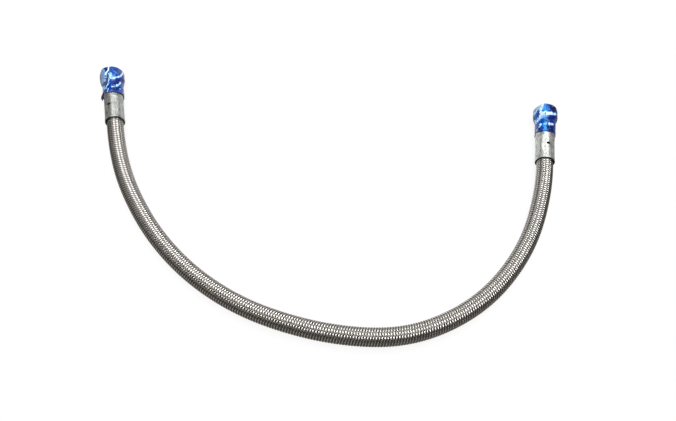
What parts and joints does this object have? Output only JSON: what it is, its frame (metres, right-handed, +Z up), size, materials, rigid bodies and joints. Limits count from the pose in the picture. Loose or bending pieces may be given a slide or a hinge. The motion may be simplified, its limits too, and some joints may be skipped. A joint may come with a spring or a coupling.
{
  "type": "hydraulic hose assembly",
  "caption": "Wire-braided flexible hose lying in one open bow, with a crimped ferrule and a threaded swivel nut under a pull-off film cover at each end.",
  "frame": {"origin": "on the surface that the assembly lies on, midway between the two end fittings, at the centre of the box that the fittings fill", "axes": "+Z up from the surface, +X from the left fitting to the right fitting, +Y towards the open side of the bow, where the ports point"},
  "size_m": [0.4759, 0.2644, 0.023],
  "materials": {
    "braid": "bright stainless wire braid, plain weave, one strand over one and under one",
    "liner": "smooth black carbon-filled PTFE",
    "ferrule": "bright zinc plate with a slight green cast, crimp flats",
    "fitting": "turned and zinc plated",
    "wire": "drawn spring wire",
    "film": "stretched translucent blue film, glossy and wrinkled"
  },
  "bodies": {
    "hose": {"wire_braid": "braid", "ptfe_liner": "liner", "ferrule_left": "ferrule", "stem_left": "fitting", "thrust_wire_left": "wire", "ferrule_right": "ferrule", "stem_right": "fitting", "thrust_wire_right": "wire"},
    "nut_left": {"swivel_nut_left": "fitting"},
    "cover_left": {"film_cover_left": "film"},
    "nut_right": {"swivel_nut_right": "fitting"},
    "cover_right": {"film_cover_right": "film"}
  },
  "joints": [
    {"name": "nut_left_swivel", "type": "hinge", "parent": "hose", "child": "nut_left", "pos_m": [-0.2206, 0.01398, 0.0115], "axis": [-0.342, 0.9397, 0], "continuous": true},
    {"name": "cover_left_pull", "type": "slide", "parent": "nut_left", "child": "cover_left", "axis": [-0.342, 0.9397, 0], "range_m": [0, 0.09], "deforming": ["film_cover_left"]},
    {"name": "nut_right_swivel", "type": "hinge", "parent": "hose", "child": "nut_right", "pos_m": [0.22459, 0.01663, 0.0115], "axis": [0.1219, 0.9925, 0], "continuous": true},
    {"name": "cover_right_pull", "type": "slide", "parent": "nut_right", "child": "cover_right", "axis": [0.1219, 0.9925, 0], "range_m": [0, 0.09], "deforming": ["film_cover_right"]}
  ]
}
